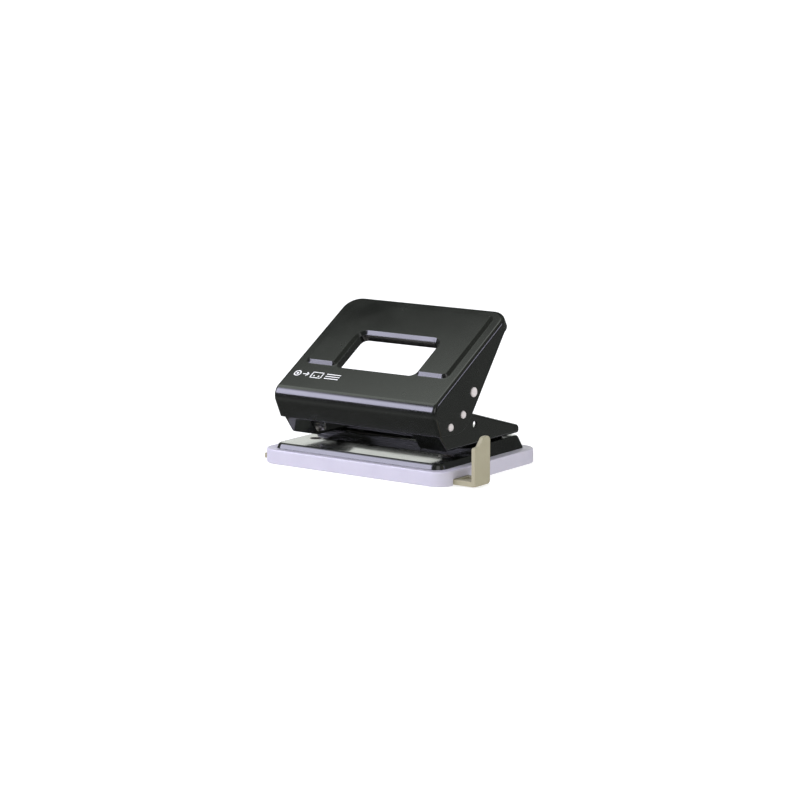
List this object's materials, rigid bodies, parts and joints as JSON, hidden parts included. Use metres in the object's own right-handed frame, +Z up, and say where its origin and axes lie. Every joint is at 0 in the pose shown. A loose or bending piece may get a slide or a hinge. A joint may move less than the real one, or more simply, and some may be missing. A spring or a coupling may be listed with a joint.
{
  "type": "hole punch",
  "caption": "Desktop two-hole paper punch: sprung sheet-metal lever with a window, folded frame, pressed base, push-fit chip tray and sliding paper guide.",
  "frame": {"origin": "centre of the chip tray's underside, which is the face that the punch rests on", "axes": "+X to the user's right along the paper slot, +Y away from the user, +Z up; paper goes in from -Y"},
  "size_m": [0.1283, 0.084, 0.0765],
  "materials": {
    "black_lacquer": "gloss black stoving lacquer",
    "bright_steel": "bright nickel-plated steel",
    "spring_steel": "drawn spring wire",
    "rivet_steel": "zinc-plated",
    "tray_plastic": "milky translucent, satin",
    "guide_plastic": "moulded, satin"
  },
  "bodies": {
    "base": {"base_plate": "black_lacquer", "punch_frame": "black_lacquer", "die_left": "bright_steel", "die_right": "bright_steel", "guide_sleeve_left": "bright_steel", "guide_sleeve_right": "bright_steel", "return_spring_left": "spring_steel", "return_spring_right": "spring_steel", "frame_rivet_1": "rivet_steel", "frame_rivet_2": "rivet_steel", "frame_rivet_3": "rivet_steel", "frame_rivet_4": "rivet_steel", "pivot_shaft": "bright_steel"},
    "lever": {"lever_shell": "black_lacquer", "press_rod": "bright_steel", "stop_rod": "bright_steel"},
    "punch_left": {"punch_pin_left": "bright_steel", "spring_washer_left": "bright_steel", "e_clip_left": "bright_steel"},
    "punch_right": {"punch_pin_right": "bright_steel", "spring_washer_right": "bright_steel", "e_clip_right": "bright_steel"},
    "tray": {"chip_tray": "tray_plastic"},
    "guide": {"paper_guide": "guide_plastic"}
  },
  "joints": [
    {"name": "lever_press", "type": "hinge", "parent": "base", "child": "lever", "pos_m": [0, -0.0264, 0.0267], "axis": [-1, 0, 0], "range_deg": [0, 25]},
    {"name": "punch_left_slide", "type": "slide", "parent": "base", "child": "punch_left", "axis": [0, 0, -1], "range_m": [0, 0.00493], "stiffness_N_per_m": 300, "springref_m": -0.006, "deforming": ["return_spring_left"]},
    {"name": "punch_right_slide", "type": "slide", "parent": "base", "child": "punch_right", "axis": [0, 0, -1], "range_m": [0, 0.00493], "stiffness_N_per_m": 300, "springref_m": -0.006, "deforming": ["return_spring_right"]},
    {"name": "tray_release", "type": "slide", "parent": "tray", "child": "base", "axis": [0, 0, 1], "range_m": [0, 0.012]},
    {"name": "guide_slide", "type": "slide", "parent": "tray", "child": "guide", "axis": [1, 0, 0], "range_m": [-0.009, 0.075]}
  ],
  "couplings": [
    {"joint": "punch_left_slide", "follows": "lever_press", "m_per_rad": 0.011281},
    {"joint": "punch_right_slide", "follows": "lever_press", "m_per_rad": 0.011281}
  ]
}
